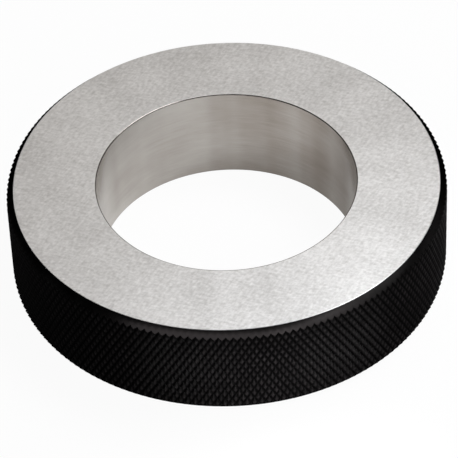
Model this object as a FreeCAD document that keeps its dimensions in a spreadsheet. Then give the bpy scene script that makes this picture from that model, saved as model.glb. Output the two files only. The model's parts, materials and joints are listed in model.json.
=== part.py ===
import FreeCAD, Part
import math
import os

import Sketcher
from FreeCAD import Vector

# Setting ring gauge: a one-piece steel ring with a lapped bore, two ground end
# faces and a grip of diamond knurling, chamfered at both ends.
# The origin is the centre of the bottom face and +Z runs up the bore.

doc = FreeCAD.newDocument("setting_ring_gauge")

# Driving dimensions, in millimetres and degrees
dimensions = (
    ("bore_diameter", 50.0, "lapped bore, the size that the ring sets"),
    ("bore_chamfer", 0.2, "45 degree break at both mouths of the bore"),
    ("ring_width", 20.0, "over the two ground end faces"),
    ("grip_diameter", 84.5, "over the tips of the knurl"),
    ("rim_chamfer", 1.35, "radial width of the chamfers beside the end faces"),
    ("rim_chamfer_angle", 45.0, "of those chamfers, from the end faces"),
    ("knurl_depth", 0.37, "from the tips to the roots"),
    ("knurl_pitch", 1.2, "from groove to groove, square to the grooves"),
    ("knurl_angle", 30.0, "of the grooves, from the axis of the ring"),
    ("knurl_start", 1.13, "from the top face down to the first row of tips"),
)
sheet = doc.addObject("Spreadsheet::Sheet", "Dimensions")
for line, (alias, value, meaning) in enumerate(dimensions, 1):
    sheet.set(f"A{line}", meaning)
    sheet.set(f"B{line}", str(value))
    sheet.setAlias(f"B{line}", alias)
doc.recompute()

tip_radius = sheet.grip_diameter / 2
root_radius = tip_radius - sheet.knurl_depth
face_radius = tip_radius - sheet.rim_chamfer
chamfer_slope = math.tan(math.radians(sheet.rim_chamfer_angle))

# The knurling wheels roll along the roots, so a whole number of teeth fits
# round them. Rows of teeth lie half a diamond apart along the axis.
tooth_width = sheet.knurl_pitch / math.cos(math.radians(sheet.knurl_angle))
teeth = round(2 * math.pi * root_radius / tooth_width)
half_tooth = math.pi / teeth
mean_radius = (tip_radius + root_radius) / 2
row_height = half_tooth * mean_radius / math.tan(math.radians(sheet.knurl_angle))


# Outline of the grip at one half tooth, from the edge of the top face to the
# edge of the bottom face. Its points are (row, radius, height). It meets tips
# and roots in turn, and a shifted outline has a root where the other has a tip.
def grip_outline(shifted):
    first_row = -math.ceil(sheet.knurl_start / row_height)
    last_row = math.ceil((sheet.ring_width - sheet.knurl_start) / row_height)
    outline = []
    for row in range(first_row, last_row + 1):
        radius = tip_radius if row % 2 == shifted else root_radius
        outline.append((row, radius, sheet.ring_width - sheet.knurl_start - row * row_height))
    outline = cut_by_chamfer(outline, sheet.ring_width, 1)
    outline.reverse()
    outline = cut_by_chamfer(outline, 0.0, -1)
    outline.reverse()
    return outline


# Cuts the start of an outline back to the chamfer beside one end face, and
# leads in with the edge of that face and the point where the chamfer ends.
# inward is 1 at the top face and -1 at the bottom face.
def cut_by_chamfer(outline, face_height, inward):
    cover = []
    for row, radius, height in outline:
        depth = (face_height - height) * inward
        cover.append(face_radius + depth / chamfer_slope - radius)
    kept = next(i for i, c in enumerate(cover) if c > 0)
    row, radius, height = outline[kept - 1]
    next_row, next_radius, next_height = outline[kept]
    share = cover[kept - 1] / (cover[kept - 1] - cover[kept])
    chamfer_end = (row, radius + share * (next_radius - radius), height + share * (next_height - height))
    return [(row - inward, face_radius, face_height), chamfer_end] + outline[kept:]


def corner_at(number, point):
    row, radius, height = point
    turn = half_tooth * (number % (2 * teeth))
    return Vector(radius * math.cos(turn), radius * math.sin(turn), height)


def flat_face(corners):
    return Part.Face(Part.makePolygon(corners + corners[:1]))


# Flat facets between two neighbouring outlines. Corners are taken row by row,
# and in a row the deeper one first, so that an edge follows every groove from
# root to root.
def grip_facets(number, left, right):
    here = corner_at(number, left[0])
    beside = corner_at(number + 1, right[0])
    steps = [(point, 0) for point in left[1:]] + [(point, 1) for point in right[1:]]
    facets = []
    for point, side in sorted(steps):
        corner = corner_at(number + side, point)
        facets.append(flat_face([beside, here, corner]))
        if side == 0:
            here = corner
        else:
            beside = corner
    return facets


# Solid bar with the knurled grip and its two end faces
def knurled_bar():
    outlines = (grip_outline(0), grip_outline(1))
    faces = []
    for number in range(2 * teeth):
        faces += grip_facets(number, outlines[number % 2], outlines[(number + 1) % 2])
    for end in (0, -1):
        edge = [corner_at(number, outlines[0][end]) for number in range(2 * teeth)]
        faces.append(flat_face(edge))
    return Part.Solid(Part.Shell(faces))


bar = doc.addObject("Part::Feature", "KnurledBar")
bar.Shape = knurled_bar()

ring = doc.addObject("PartDesign::Body", "SettingRing")
ring.Label = "setting_ring"
ring.BaseFeature = bar

# Half section of the bore with the chamfers at its mouths. Each chamfer runs on
# by its own width past the end face.
section = ring.newObject("Sketcher::SketchObject", "BoreSection")
section.AttachmentSupport = [(f, "") for f in ring.Origin.OriginFeatures if f.Role == "XZ_Plane"]
section.MapMode = "FlatFace"
radius = sheet.bore_diameter / 2
chamfer = sheet.bore_chamfer
corners = [
    Vector(0, -chamfer, 0),
    Vector(radius + 2 * chamfer, -chamfer, 0),
    Vector(radius, chamfer, 0),
    Vector(radius, sheet.ring_width - chamfer, 0),
    Vector(radius + 2 * chamfer, sheet.ring_width + chamfer, 0),
    Vector(0, sheet.ring_width + chamfer, 0),
]
for start, end in zip(corners, corners[1:] + corners[:1]):
    section.addGeometry(Part.LineSegment(start, end), False)
base, mouth_below, wall, mouth_above, top, axis = range(6)
for side in range(6):
    section.addConstraint(Sketcher.Constraint("Coincident", side, 2, (side + 1) % 6, 1))
origin, height_axis = -1, -2
section.addConstraint([
    Sketcher.Constraint("PointOnObject", axis, 1, height_axis),
    Sketcher.Constraint("PointOnObject", axis, 2, height_axis),
    Sketcher.Constraint("Horizontal", base),
    Sketcher.Constraint("Horizontal", top),
    Sketcher.Constraint("Vertical", wall),
])
sized = (
    ("radius", "DistanceX", (origin, 1, wall, 1), "Dimensions.bore_diameter / 2"),
    ("past_bottom", "DistanceY", (base, 1, origin, 1), "Dimensions.bore_chamfer"),
    ("wall_start", "DistanceY", (origin, 1, wall, 1), "Dimensions.bore_chamfer"),
    ("flare_below", "DistanceX", (mouth_below, 2, mouth_below, 1), "2 * Dimensions.bore_chamfer"),
    ("wall_end", "DistanceY", (origin, 1, wall, 2), "Dimensions.ring_width - Dimensions.bore_chamfer"),
    ("past_top", "DistanceY", (origin, 1, top, 1), "Dimensions.ring_width + Dimensions.bore_chamfer"),
    ("flare_above", "DistanceX", (mouth_above, 1, mouth_above, 2), "2 * Dimensions.bore_chamfer"),
)
doc.recompute()
for name, kind, ends, formula in sized:
    value = float(section.evalExpression(formula))
    index = section.addConstraint(Sketcher.Constraint(kind, *ends, value))
    section.renameConstraint(index, name)
    section.setExpression(f"Constraints.{name}", formula)

bore = ring.newObject("PartDesign::Groove", "Bore")
bore.Profile = section
bore.ReferenceAxis = (section, ["V_Axis"])
bore.Angle = 360
bore.Refine = False
ring.Tip = bore
doc.recompute()

# Nothing is written unless every object is sound
for item in doc.Objects:
    if "Invalid" in item.State or "Error" in item.State:
        raise RuntimeError(f"{item.Label} did not build: {item.State}")
if ring.Shape.isNull() or not ring.Shape.isValid() or len(ring.Shape.Solids) != 1:
    raise RuntimeError("the ring is not one valid solid")
if ring.Shape.Volume > bar.Shape.Volume - math.pi * radius ** 2 * sheet.ring_width:
    raise RuntimeError("the bore was not cut")

os.makedirs("parts", exist_ok=True)
ring.Shape.exportStep(f"parts/{ring.Label}.step")
print(f"{ring.Label}: {teeth} teeth round, {len(ring.Shape.Faces)} faces, {ring.Shape.Volume:.0f} mm3")
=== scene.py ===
import json
import math

import bmesh
import bpy
import numpy as np
from mathutils import Matrix, Vector


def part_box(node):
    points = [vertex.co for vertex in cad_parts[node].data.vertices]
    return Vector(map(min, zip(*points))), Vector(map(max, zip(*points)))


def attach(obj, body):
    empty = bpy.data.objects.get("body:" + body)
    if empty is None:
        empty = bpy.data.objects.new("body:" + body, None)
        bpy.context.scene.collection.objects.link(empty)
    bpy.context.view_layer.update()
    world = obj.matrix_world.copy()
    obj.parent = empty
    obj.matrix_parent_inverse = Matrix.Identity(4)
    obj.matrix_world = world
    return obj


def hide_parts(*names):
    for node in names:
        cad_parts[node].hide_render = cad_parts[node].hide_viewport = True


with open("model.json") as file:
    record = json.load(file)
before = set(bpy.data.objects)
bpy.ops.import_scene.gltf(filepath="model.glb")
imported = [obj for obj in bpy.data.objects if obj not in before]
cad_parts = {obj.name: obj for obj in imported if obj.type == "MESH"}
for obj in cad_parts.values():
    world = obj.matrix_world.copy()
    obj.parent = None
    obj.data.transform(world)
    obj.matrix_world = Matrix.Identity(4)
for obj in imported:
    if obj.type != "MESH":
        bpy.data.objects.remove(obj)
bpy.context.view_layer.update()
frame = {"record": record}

# Setting ring gauge: a ring with ground end faces, a lapped bore and a black knurled grip.
# It is one piece, so it is one mesh here too. Metres throughout.

scene = bpy.context.scene
mm = 0.001
boreMount = next(m for m in frame["record"]["mounts"] if m["name"] == "bore")

ring = {
    "tipRadius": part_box("setting_ring")[1].x,
    "width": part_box("setting_ring")[1].z,
    "boreRadius": boreMount["dims"]["r_mm"] * mm,
    "boreLength": boreMount["dims"]["length_mm"] * mm,
    "rimChamfer": 1.35 * mm,
    "rimBreak": 0.05 * mm,  # where the chamfer meets the ground face
    "lipSteps": 6,  # round each mouth of the bore
    "lipBorder": 0.1 * mm,  # plain strip on each side of a lip
    "faceBorder": 0.5 * mm,  # from the chamfer in to the first circle of the end face
    "sides": 2,  # flats of the turned surfaces to each tooth
    "smoothBelow": 20,  # degrees between two faces
    "smoothBelowKnurl": 60,
}

# The knurl. The grooves run both ways across the grip, and x counts teeth round it.
knurl = {
    "teeth": 190,
    "grooveAngle": 30,  # degrees from the axis
    "firstRow": 1.13 * mm,  # tips below the top face
    "depth": 0.37 * mm,
    "tipFlat": 0.20,  # share of the pitch
    "tipRound": 0.12,  # share of the pitch, each side of the flat
    "roundDrop": 0.08 * mm,
}

# Points nearer to each other than this become one
weld = {"cut": 1e-8, "column": 1e-7, "ring": 2e-6}

# Places of the finishes in the ring's material list
oxide, ground, lapped, turned, mouth = range(5)

rootRadius = ring["tipRadius"] - knurl["depth"]
faceRadius = ring["tipRadius"] - ring["rimChamfer"]
lip = (ring["width"] - ring["boreLength"]) / 2
toothTurn = 2 * math.pi / knurl["teeth"]
grooveSlope = math.tan(math.radians(knurl["grooveAngle"]))
rowHeight = toothTurn / 2 * (ring["tipRadius"] + rootRadius) / 2 / grooveSlope


def grooveProfile():  # height over one pitch, from groove to groove
    flatStart = 0.5 - knurl["tipFlat"] / 2
    roundStart = flatStart - knurl["tipRound"]
    rising = [(0, 0), (roundStart, knurl["depth"] - knurl["roundDrop"]), (flatStart, knurl["depth"])]
    return rising + [(1 - share, height) for share, height in reversed(rising)]


def addTooth(bm, row, centre):  # one diamond, laid out flat as (teeth, radius, height)
    profile = grooveProfile()
    grid = []
    for shareA, heightA in profile:
        line = []
        for shareB, heightB in profile:
            x = centre + (shareA + shareB - 1) / 2
            z = ring["width"] - knurl["firstRow"] - (row + shareA - shareB) * rowHeight
            line.append(bm.verts.new((x, rootRadius + min(heightA, heightB), z)))
        grid.append(line)
    middle = (len(profile) - 1) / 2
    for i in range(len(profile) - 1):
        for j in range(len(profile) - 1):
            corners = [grid[i][j], grid[i + 1][j], grid[i + 1][j + 1], grid[i][j + 1]]
            if (i < middle) != (j < middle):  # the fold runs from the diamond's corner to its tip
                corners = corners[1:] + corners[:1]
            bm.faces.new((corners[0], corners[1], corners[2]))
            bm.faces.new((corners[0], corners[2], corners[3]))


def cutFlat(bm, point, outward):  # cuts away what lies outward of a plane, and gives the cut edges
    parts = bm.verts[:] + bm.edges[:] + bm.faces[:]
    result = bmesh.ops.bisect_plane(
        bm, geom=parts, dist=weld["cut"],
        plane_co=point, plane_no=Vector(outward).normalized(), clear_outer=True,
    )
    return [e for e in result["geom_cut"] if isinstance(e, bmesh.types.BMEdge)]


def stepIn(bm, chain, radius, height, material):  # strip from a chain of points to a chain beside it
    further = [bm.verts.new((v.co.x, radius, height)) for v in chain]
    for k in range(len(chain) - 1):
        face = bm.faces.new((chain[k], chain[k + 1], further[k + 1], further[k]))
        face.material_index = material
    return further


def stepAcross(bm, chain, further, material):  # strip between chains with different points
    i = j = 0
    while i < len(chain) - 1 or j < len(further) - 1:
        here = [chain[i], further[j]]
        if j == len(further) - 1 or (i < len(chain) - 1 and chain[i + 1].co.x <= further[j + 1].co.x):
            i += 1
            here.append(chain[i])
        else:
            j += 1
            here.append(further[j])
        bm.faces.new(here).material_index = material


def turnedSection(top, inward):  # radius, height and material from an end face down into the bore
    border = ring["lipBorder"]
    mouthRadius = ring["boreRadius"] + lip
    section = [
        (faceRadius - ring["faceBorder"], top, ground),
        (mouthRadius + border, top, ground),
        (mouthRadius, top, ground),
    ]
    for k in range(1, ring["lipSteps"] + 1):
        turn = math.pi / 2 * k / ring["lipSteps"]
        radius = mouthRadius - lip * math.sin(turn)
        section.append((radius, top - inward * lip * (1 - math.cos(turn)), mouth))
    section.append((ring["boreRadius"], top - inward * (lip + border), lapped))
    section.append((ring["boreRadius"], ring["width"] / 2, lapped))
    return section


def ringColumn():  # one tooth's share of the whole ring
    bm = bmesh.new()
    lastRow = math.ceil((ring["width"] - knurl["firstRow"]) / rowHeight)
    for row in range(-1, lastRow + 1):  # the chamfers cut the outer rows back
        for centre in ((0, 1) if row % 2 == 0 else (0.5,)):
            addTooth(bm, row, centre)
    bmesh.ops.remove_doubles(bm, verts=bm.verts, dist=weld["column"])
    cutFlat(bm, (0, 0, 0), (-1, 0, 0))
    cutFlat(bm, (1, 0, 0), (1, 0, 0))
    for top, inward in ((ring["width"], 1), (0, -1)):
        edges = cutFlat(bm, (0, faceRadius, top), (0, 1, inward))
        chain = sorted({v for e in edges for v in e.verts}, key=lambda v: v.co.x)
        edge = ring["rimBreak"]
        chain = stepIn(bm, chain, faceRadius + edge, top - inward * edge, turned)
        chain = stepIn(bm, chain, faceRadius - edge, top, ground)
        section = turnedSection(top, inward)
        radius, height, material = section[0]
        spots = [k / ring["sides"] for k in range(ring["sides"] + 1)]
        further = [bm.verts.new((x, radius, height)) for x in spots]
        stepAcross(bm, chain, further, material)
        for radius, height, material in section[1:]:
            further = stepIn(bm, further, radius, height, material)
    bmesh.ops.remove_doubles(bm, verts=bm.verts, dist=weld["column"])
    return bm


def buildRing():  # the column, wrapped round the axis once for each tooth
    column = ringColumn()
    column.verts.index_update()
    flat = np.array([v.co for v in column.verts])
    faces = [[v.index for v in f.verts] for f in column.faces]
    materials = [f.material_index for f in column.faces]
    column.free()
    count = len(flat)
    points = []
    for tooth in range(knurl["teeth"]):
        turn = (flat[:, 0] + tooth) * toothTurn
        points.append(np.stack([flat[:, 1] * np.cos(turn), flat[:, 1] * np.sin(turn), flat[:, 2]], axis=1))
    everyFace = [[v + tooth * count for v in f] for tooth in range(knurl["teeth"]) for f in faces]
    mesh = bpy.data.meshes.new("settingRing")
    mesh.from_pydata(np.concatenate(points).tolist(), [], everyFace)
    mesh.polygons.foreach_set("material_index", materials * knurl["teeth"])
    bm = bmesh.new()
    bm.from_mesh(mesh)
    bmesh.ops.remove_doubles(bm, verts=bm.verts, dist=weld["ring"])
    bmesh.ops.recalc_face_normals(bm, faces=bm.faces)
    for face in bm.faces:
        face.smooth = True
    for edge in bm.edges:  # the knurl always ends sharply at the chamfers
        finishes = {f.material_index for f in edge.link_faces}
        limit = ring["smoothBelowKnurl"] if finishes == {oxide} else ring["smoothBelow"]
        edge.smooth = finishes != {oxide, turned} and edge.calc_face_angle(0) < math.radians(limit)
    bm.to_mesh(mesh)
    bm.free()
    piece = bpy.data.objects.new("settingRingDressed", mesh)
    scene.collection.objects.link(piece)
    return piece


class Nodes:  # shorthand for the nodes of one material, or of the world
    def __init__(self, owner):
        self.owner = owner
        self.tree = owner.node_tree
        self.shader = self.tree.nodes.get("Principled BSDF") or self.tree.nodes["Background"]

    def add(self, kind, **settings):
        node = self.tree.nodes.new(kind)
        for key, value in settings.items():
            if hasattr(node, key):
                setattr(node, key, value)
            else:
                node.inputs[key].default_value = value
        return node

    def link(self, start, end):
        self.tree.links.new(start, end)

    def set(self, **values):  # plain values on the shader, with _ for a space
        for key, value in values.items():
            self.shader.inputs[key.replace("_", " ")].default_value = value

    def place(self):
        return self.add("ShaderNodeTexCoord").outputs["Object"]

    def noise(self, vector, scale, detail, roughness):
        node = self.add("ShaderNodeTexNoise", Scale=scale, Detail=detail, Roughness=roughness)
        self.link(vector, node.inputs["Vector"])
        return node.outputs["Fac"]

    def stretch(self, vector, lengths, turn=0):
        node = self.add("ShaderNodeMapping", vector_type="TEXTURE", Scale=lengths)
        node.inputs["Rotation"].default_value = (0, 0, math.radians(turn))
        self.link(vector, node.inputs["Vector"])
        return node.outputs["Vector"]

    def math(self, operation, a, b=None):
        node = self.add("ShaderNodeMath", operation=operation)
        for socket, value in zip(node.inputs, (a, b)):
            if isinstance(value, bpy.types.NodeSocket):
                self.link(value, socket)
            elif value is not None:
                socket.default_value = value
        return node.outputs[0]

    def blend(self, *parts):  # sum of (value, share)
        total = self.math("MULTIPLY", *parts[0])
        for value, share in parts[1:]:
            total = self.math("ADD", total, self.math("MULTIPLY", value, share))
        return total

    def spread(self, value, old, new):  # from one range to another, held at its ends
        node = self.add("ShaderNodeMapRange")
        self.link(value, node.inputs["Value"])
        for key, number in zip(("From Min", "From Max", "To Min", "To Max"), (*old, *new)):
            node.inputs[key].default_value = number
        return node.outputs["Result"]

    def shades(self, value, reach, dark, light):  # from one colour to another, held at its ends
        node = self.add("ShaderNodeValToRGB")
        for element, position, colour in zip(node.color_ramp.elements, reach, (dark, light)):
            element.position = position
            element.color = (*colour, 1)
        self.link(value, node.inputs["Fac"])
        return node.outputs["Color"]

    def finish(self, colour, roughness, height, depth):
        self.link(colour, self.shader.inputs["Base Color"])
        self.link(roughness, self.shader.inputs["Roughness"])
        node = self.add("ShaderNodeBump", Strength=1, Distance=depth)
        self.link(height, node.inputs["Height"])
        self.link(node.outputs["Normal"], self.shader.inputs["Normal"])
        return self.owner

    def around(self):  # the same all along a line out from the axis
        flatten = self.add("ShaderNodeVectorMath", operation="MULTIPLY")
        flatten.inputs[1].default_value = (1, 1, 0)
        self.link(self.place(), flatten.inputs[0])
        node = self.add("ShaderNodeVectorMath", operation="NORMALIZE")
        self.link(flatten.outputs[0], node.inputs[0])
        return node.outputs[0]

    def fromAxis(self):
        parts = self.add("ShaderNodeSeparateXYZ")
        self.link(self.place(), parts.inputs[0])
        squares = [self.math("MULTIPLY", side, side) for side in parts.outputs[:2]]
        return self.math("SQRT", self.math("ADD", *squares))


def newMaterial(name):
    material = bpy.data.materials.new(name)
    material.use_nodes = True
    return Nodes(material)


# Knurled grip, paler towards the tips: partly worn steel, partly a painted highlight on the tips.
# In every finish a reach is the pair of pattern values between which the colour or the roughness turns from
# its first to its second.
blackOxide = {
    "deep": (0.0022, 0.0020, 0.0021),
    "paler": (0.020, 0.018, 0.0185),
    "roughness": (0.34, 0.5),
    "roughReach": (0.3, 0.7),
    "coat": 0.03,
    "coatRoughness": 0.3,
    # The tips are paler by radius: worn steel and a painted highlight
    "wearAndHighlightDepth": 0.22 * mm,
    "wearAndHighlight": (0.4, 1),  # in a dull patch and in a worn one
    "wearAndHighlightReach": (0.35, 0.7),
    "patch": {"scale": 260, "detail": 3, "roughness": 0.6},
    "grain": {"scale": 9000, "detail": 2, "roughness": 0.6},
    "grainDepth": 0.004 * mm,
}


def blackOxideMaterial():
    n = newMaterial("blackOxide")
    n.set(Specular_IOR_Level=0, Coat_Weight=blackOxide["coat"], Coat_Roughness=blackOxide["coatRoughness"])
    patch = n.noise(n.place(), **blackOxide["patch"])
    # Paler towards the tips, less so in dull patches: worn steel and a painted highlight
    tips = (ring["tipRadius"] - blackOxide["wearAndHighlightDepth"], ring["tipRadius"])
    tipWearAndHighlight = n.spread(n.fromAxis(), tips, (0, 1))
    patchWearAndHighlight = n.spread(patch, blackOxide["wearAndHighlightReach"], blackOxide["wearAndHighlight"])
    wearAndHighlight = n.math("MULTIPLY", tipWearAndHighlight, patchWearAndHighlight)
    colour = n.shades(wearAndHighlight, (0, 1), blackOxide["deep"], blackOxide["paler"])
    roughness = n.spread(patch, blackOxide["roughReach"], blackOxide["roughness"])
    grain = n.noise(n.place(), **blackOxide["grain"])
    return n.finish(colour, roughness, grain, blackOxide["grainDepth"])


# End faces, with grinding strokes that cross
groundSteel = {
    "dark": (0.47, 0.468, 0.466),
    "light": (0.71, 0.71, 0.71),
    "shadeReach": (0.38, 0.62),
    "roughness": (0.285, 0.335),
    "roughReach": (0.3, 0.7),
    "strokeTurns": (58, -20),  # degrees
    "strokeLength": 2.4,  # counted in its widths
    "stroke": {"scale": 1900, "detail": 2, "roughness": 0.6},
    "cloud": {"scale": 130, "detail": 2, "roughness": 0.5},
    "fans": {"scale": 3.2, "detail": 1, "roughness": 0.4},  # broad shades that fan out from the axis
    "strokeShare": 0.7,
    "strokeDepth": 0.004 * mm,
}


def groundSteelMaterial():
    n = newMaterial("groundSteel")
    n.set(Metallic=1)
    strokes = []
    for turn in groundSteel["strokeTurns"]:
        laid = n.stretch(n.place(), (groundSteel["strokeLength"], 1, 1), turn)
        strokes.append(n.noise(laid, **groundSteel["stroke"]))
    crossed = n.math("MULTIPLY", n.math("ADD", *strokes), 0.5)
    cloud = n.noise(n.place(), **groundSteel["cloud"])
    fans = n.noise(n.around(), **groundSteel["fans"])
    share = groundSteel["strokeShare"]
    grain = n.blend((crossed, share), (n.math("ADD", cloud, fans), (1 - share) / 2))
    colour = n.shades(grain, groundSteel["shadeReach"], groundSteel["dark"], groundSteel["light"])
    roughness = n.spread(grain, groundSteel["roughReach"], groundSteel["roughness"])
    return n.finish(colour, roughness, crossed, groundSteel["strokeDepth"])


# Wall of the bore
lappedSteel = {
    "dark": (0.325, 0.285, 0.248),
    "light": (0.635, 0.608, 0.572),
    "shadeReach": (0.2, 0.65),
    "roughness": (0.20, 0.27),
    "roughReach": (0.35, 0.65),
    "anisotropy": 0.6,
    "glossTurn": 0.25,  # the gloss spreads along the bore
    "cloud": {"scale": 45, "detail": 3, "roughness": 0.55},
    "cloudStretch": (1, 1, 0.4),
    "lay": {"scale": 160, "detail": 2, "roughness": 0.6},
    "layStretch": (1, 1, 0.025),
    "layDepth": 0.001 * mm,
    "fans": {"scale": 4.5, "detail": 1, "roughness": 0.4},
    "fanShare": 0.35,
    "layShare": 0.2,
    "cloudShare": 0.45,
    # Painted shade: one side of the bore wall is darker and browner
    "paintedShade": 0.21,  # how much darker and browner one side of the bore is
    "paintedShadeSide": (0.62, 0.785, 0),
    "paintedShadeReach": (0.5, 1),
}


def lappedSteelMaterial():
    n = newMaterial("lappedSteel")
    n.set(Metallic=1, Anisotropic=lappedSteel["anisotropy"], Anisotropic_Rotation=lappedSteel["glossTurn"])
    tangent = n.add("ShaderNodeTangent", direction_type="RADIAL", axis="Z")
    n.link(tangent.outputs[0], n.shader.inputs["Tangent"])
    cloud = n.noise(n.stretch(n.place(), lappedSteel["cloudStretch"]), **lappedSteel["cloud"])
    lay = n.noise(n.stretch(n.place(), lappedSteel["layStretch"]), **lappedSteel["lay"])
    # Broad shades round the bore, turned over so that they paint darker and lighter reflected bands:
    # painted reflection
    fans = n.math("SUBTRACT", 1, n.noise(n.around(), **lappedSteel["fans"]))
    mixed = n.blend(
        (fans, lappedSteel["fanShare"]), (lay, lappedSteel["layShare"]), (cloud, lappedSteel["cloudShare"])
    )
    # Painted shade, darker and browner towards one side of the bore
    facing = n.add("ShaderNodeVectorMath", operation="DOT_PRODUCT")
    facing.inputs[1].default_value = lappedSteel["paintedShadeSide"]
    n.link(n.around(), facing.inputs[0])
    paintedShade = n.spread(facing.outputs["Value"], lappedSteel["paintedShadeReach"], (0, lappedSteel["paintedShade"]))
    mixed = n.math("SUBTRACT", mixed, paintedShade)
    colour = n.shades(mixed, lappedSteel["shadeReach"], lappedSteel["dark"], lappedSteel["light"])
    roughness = n.spread(mixed, lappedSteel["roughReach"], lappedSteel["roughness"])
    return n.finish(colour, roughness, lay, lappedSteel["layDepth"])


# Chamfers beside the knurl
turnedBlack = {
    "deep": (0.037, 0.035, 0.035),
    "paler": (0.046, 0.044, 0.044),
    "shadeReach": (0.3, 0.8),
    "edge": (0.05, 0.05, 0.05),  # hardly any shine where it is seen edge on
    "roughness": (0.20, 0.25),
    "roughReach": (0.3, 0.7),
    "patch": {"scale": 260, "detail": 3, "roughness": 0.6},
    "grain": {"scale": 5000, "detail": 2, "roughness": 0.6},
    "grainDepth": 0.003 * mm,
}


def turnedBlackMaterial():
    n = newMaterial("turnedBlack")
    n.set(Metallic=1, Specular_Tint=(*turnedBlack["edge"], 1))
    patch = n.noise(n.place(), **turnedBlack["patch"])
    colour = n.shades(patch, turnedBlack["shadeReach"], turnedBlack["deep"], turnedBlack["paler"])
    roughness = n.spread(patch, turnedBlack["roughReach"], turnedBlack["roughness"])
    grain = n.noise(n.place(), **turnedBlack["grain"])
    return n.finish(colour, roughness, grain, turnedBlack["grainDepth"])


# Rounded edges at the mouths of the bore, in darker steel: a painted dark reflection along them
mouthSteel = {
    "dark": (0.18, 0.165, 0.155),
    "light": (0.27, 0.25, 0.235),
    "roughness": (0.05, 0.09),
    "reach": (0.35, 0.65),  # of both
    "nicks": {"scale": 700, "detail": 2, "roughness": 0.5},
    "nickDepth": 0.002 * mm,
}


def mouthSteelMaterial():
    n = newMaterial("mouthSteel")
    n.set(Metallic=1)
    nicks = n.noise(n.place(), **mouthSteel["nicks"])
    colour = n.shades(nicks, mouthSteel["reach"], mouthSteel["dark"], mouthSteel["light"])
    roughness = n.spread(nicks, mouthSteel["reach"], mouthSteel["roughness"])
    return n.finish(colour, roughness, nicks, mouthSteel["nickDepth"])


dressed = buildRing()
print("ring:", len(dressed.data.polygons), "faces,", len(dressed.data.vertices), "points")
makers = {
    oxide: blackOxideMaterial,
    ground: groundSteelMaterial,
    lapped: lappedSteelMaterial,
    turned: turnedBlackMaterial,
    mouth: mouthSteelMaterial,
}
for index in sorted(makers):
    dressed.data.materials.append(makers[index]())
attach(dressed, "root")
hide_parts("setting_ring")
print("finishes ready")

# White table. The camera sees it nearly white and gloss sees a part of it white, with the lamps'
# light and the ring's shadow in the rest.
table = {
    "radius": 6.0,
    "sides": 96,
    "colour": (0.85, 0.85, 0.85),
    "bounce": (0.12, 0.12, 0.12),  # colour that matt surfaces see
    "roughness": 0.9,
    "shine": 0.1,
    "shadowForCamera": 0.05,  # share that the lamps light
    "shadowForGloss": 0.65,
}


def tableMaterial():
    n = newMaterial("whiteTable")
    n.set(Roughness=table["roughness"], Specular_IOR_Level=table["shine"])
    glow = n.add("ShaderNodeEmission", Strength=1)
    rays = n.add("ShaderNodeLightPath").outputs
    seen = n.math("MAXIMUM", rays["Is Camera Ray"], rays["Is Glossy Ray"])
    n.link(n.shades(seen, (0, 1), table["bounce"], table["colour"]), n.shader.inputs["Base Color"])
    forCamera = n.math("MULTIPLY", rays["Is Camera Ray"], 1 - table["shadowForCamera"])
    gloss = n.math("MAXIMUM", rays["Is Glossy Ray"], rays["Is Transmission Ray"])
    forGloss = n.math("MULTIPLY", gloss, 1 - table["shadowForGloss"])
    mix = n.add("ShaderNodeMixShader")
    n.link(n.math("MAXIMUM", forCamera, forGloss), mix.inputs[0])
    n.link(n.shader.outputs[0], mix.inputs[1])
    n.link(glow.outputs[0], mix.inputs[2])
    n.link(mix.outputs[0], n.tree.nodes["Material Output"].inputs["Surface"])
    return n.owner


def buildTable():
    mesh = bpy.data.meshes.new("table")
    bm = bmesh.new()
    bmesh.ops.create_circle(bm, cap_ends=True, radius=table["radius"], segments=table["sides"])
    bm.to_mesh(mesh)
    bm.free()
    mesh.materials.append(tableMaterial())
    piece = bpy.data.objects.new("table", mesh)
    scene.collection.objects.link(piece)
    return piece


floor = buildTable()
print("table ready")

# Lamps. Azimuth is counted from the camera's side towards the right, both angles in degrees.
lamps = {
    "overhead": {"azimuth": 152, "elevation": 64, "distance": 0.55, "size": (0.30, 0.22), "radiance": 3.76,
                 "colour": (0.93, 0.96, 1.0)},
    "behind": {"azimuth": 172, "elevation": 44, "distance": 0.55, "size": (0.44, 0.28), "radiance": 0.8,
               "colour": (1.0, 0.945, 0.89)},
    "side": {"azimuth": 104, "elevation": 61, "distance": 0.55, "size": (0.34, 0.26), "radiance": 6.2,
             "colour": (0.97, 0.985, 1.0)},
    "key": {"azimuth": 45, "elevation": 42, "distance": 0.55, "size": (0.36, 0.17), "radiance": 0.78,
            "colour": (1.0, 0.94, 0.955)},
    "fill": {"azimuth": -10, "elevation": 46, "distance": 0.56, "size": (0.70, 0.15), "radiance": 1.05,
             "colour": (1.0, 0.94, 0.955)},
    "right": {"azimuth": 81, "elevation": 35, "distance": 0.55, "size": (0.20, 0.12), "radiance": 0.45,
              "colour": (1.0, 1.0, 1.0)},
    "lowRight": {"azimuth": 109, "elevation": 17, "distance": 0.55, "size": (0.24, 0.12), "radiance": 0.17,
                 "colour": (1.0, 1.0, 1.0)},
    "glint": {"azimuth": 50, "elevation": 45, "distance": 0.50, "size": (0.10, 0.06), "radiance": 1.1,
              "colour": (1.0, 1.0, 1.0)},
    "near": {"azimuth": 12, "elevation": -12.5, "distance": 0.07, "size": (0.04, 0.007), "radiance": 18.5,
             "colour": (1.0, 1.0, 1.0)},
    "nearRight": {"azimuth": 88, "elevation": -8, "distance": 0.08, "size": (0.04, 0.012), "radiance": 10.5,
                  "colour": (1.0, 1.0, 1.0)},
}


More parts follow.
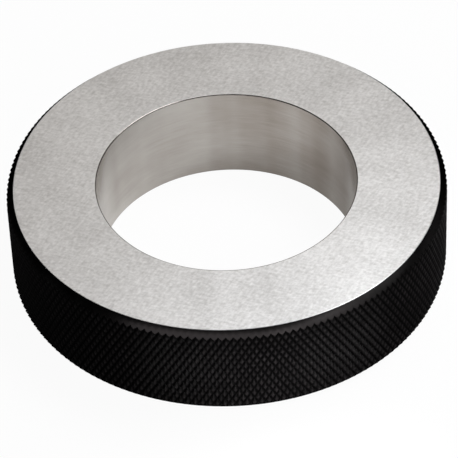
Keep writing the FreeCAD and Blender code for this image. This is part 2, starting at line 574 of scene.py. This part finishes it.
def addLamp(name, lamp):
    light = bpy.data.lights.new(name, "AREA")
    light.shape = "RECTANGLE"
    light.size, light.size_y = lamp["size"]
    light.energy = lamp["radiance"] * math.pi * lamp["size"][0] * lamp["size"][1]
    light.color = lamp["colour"]
    holder = bpy.data.objects.new(name, light)
    holder.visible_camera = False
    azimuth = math.radians(lamp["azimuth"])
    elevation = math.radians(lamp["elevation"])
    level = math.cos(elevation)
    toLamp = Vector((math.sin(azimuth) * level, -math.cos(azimuth) * level, math.sin(elevation)))
    holder.location = Vector((0, 0, ring["width"])) + toLamp * lamp["distance"]
    holder.rotation_mode = "QUATERNION"
    holder.rotation_quaternion = (-toLamp).to_track_quat("-Z", "Y")
    scene.collection.objects.link(holder)


for name, lamp in lamps.items():
    addLamp(name, lamp)

# The room behind the lamps. The camera sees it white, and gloss sees a pale band above the table.
room = {
    "level": 0.03,  # light on matt surfaces
    "glossDark": 0.012,
    "glossPale": 0.8,
    "paleBelow": 0.20,  # sine of the angle above the table
    "darkAbove": 0.42,
    "lowerBehind": 0.4,  # how fast the band sinks towards +Y
    "sinksFrom": -0.15,
}


def roomWorld():
    world = bpy.data.worlds.new("studio")
    world.use_nodes = True
    n = Nodes(world)
    n.set(Color=(1, 1, 1, 1))
    rays = n.add("ShaderNodeLightPath").outputs
    direction = n.add("ShaderNodeSeparateXYZ")
    n.link(n.add("ShaderNodeTexCoord").outputs["Generated"], direction.inputs[0])
    behind = n.math("MAXIMUM", n.math("SUBTRACT", direction.outputs["Y"], room["sinksFrom"]), 0)
    lift = n.math("ADD", direction.outputs["Z"], n.math("MULTIPLY", behind, room["lowerBehind"]))
    edges = (room["paleBelow"], room["darkAbove"])
    band = n.spread(lift, edges, (room["glossPale"], room["glossDark"]))
    gloss = rays["Is Glossy Ray"]
    seen = rays["Is Camera Ray"]
    plain = n.math("MULTIPLY", n.math("SUBTRACT", 1, n.math("MAXIMUM", gloss, seen)), room["level"])
    strength = n.math("ADD", plain, n.math("ADD", seen, n.math("MULTIPLY", gloss, band)))
    n.link(strength, n.shader.inputs["Strength"])
    return world


scene.world = roomWorld()
print("lamps ready")

# The camera looks along +Y and down onto the ring. Places are counted in radii of the top face.
view = {
    "elevation": 42.94,
    "roll": -2.507,
    "across": -0.0127,
    "up": 0.2307,
    "distance": 15.668,
    "lens": 263.07,
    "clipEnd": 20,
}


def addCamera():
    elevation = math.radians(view["elevation"])
    roll = math.radians(view["roll"])
    ahead = Vector((0, math.cos(elevation), -math.sin(elevation)))
    side = Vector((1, 0, 0))
    above = Vector((0, math.sin(elevation), math.cos(elevation)))
    right = math.cos(roll) * side + math.sin(roll) * above
    upright = -math.sin(roll) * side + math.cos(roll) * above
    centre = Vector((0, 0, ring["width"]))
    offset = view["across"] * right + view["up"] * upright + view["distance"] * ahead
    spot = centre - faceRadius * offset
    data = bpy.data.cameras.new("camera")
    data.lens = view["lens"]
    data.clip_end = view["clipEnd"]
    camera = bpy.data.objects.new("camera", data)
    scene.collection.objects.link(camera)
    camera.matrix_world = Matrix.Translation(spot) @ Matrix((right, upright, -ahead)).transposed().to_4x4()
    return camera


scene.camera = addCamera()
scene.view_settings.view_transform = "Standard"
